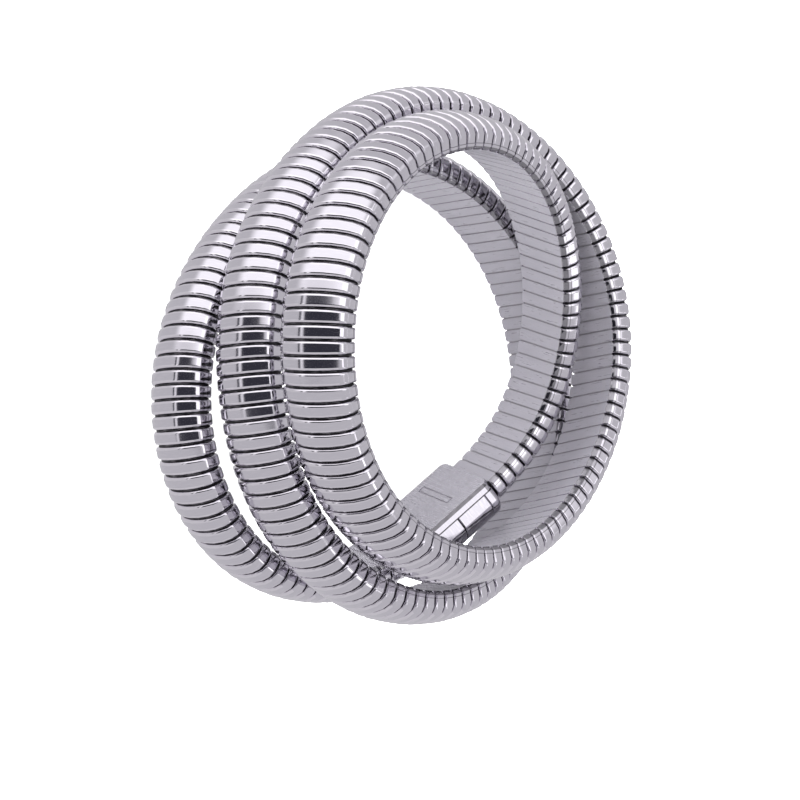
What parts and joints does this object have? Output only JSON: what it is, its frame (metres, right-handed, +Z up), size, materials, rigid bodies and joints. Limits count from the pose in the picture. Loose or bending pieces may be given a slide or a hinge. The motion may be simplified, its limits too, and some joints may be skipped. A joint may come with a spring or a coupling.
{
  "type": "coiled bracelet",
  "caption": "Flexible ribbed D-section metal band coiled several times round the wrist and closed by one rigid two-halved clasp, lying on its side.",
  "frame": {"origin": "centre of the coil's bounding box at the surface the bracelet lies on", "axes": "+Z up along the wrist's axis, +X to the right and +Y away from the viewer when the lying bracelet is seen from above with its clasp low on the right"},
  "size_m": [0.0674, 0.0684, 0.0335],
  "materials": {
    "band": "domed ribs polished, flat inner face satin",
    "clasp": "polished"
  },
  "bodies": {
    "root": {"band_rear_turns": "band", "band_front_turns": "band", "clasp_socket": "clasp", "clasp_plug": "clasp"}
  },
  "joints": []
}
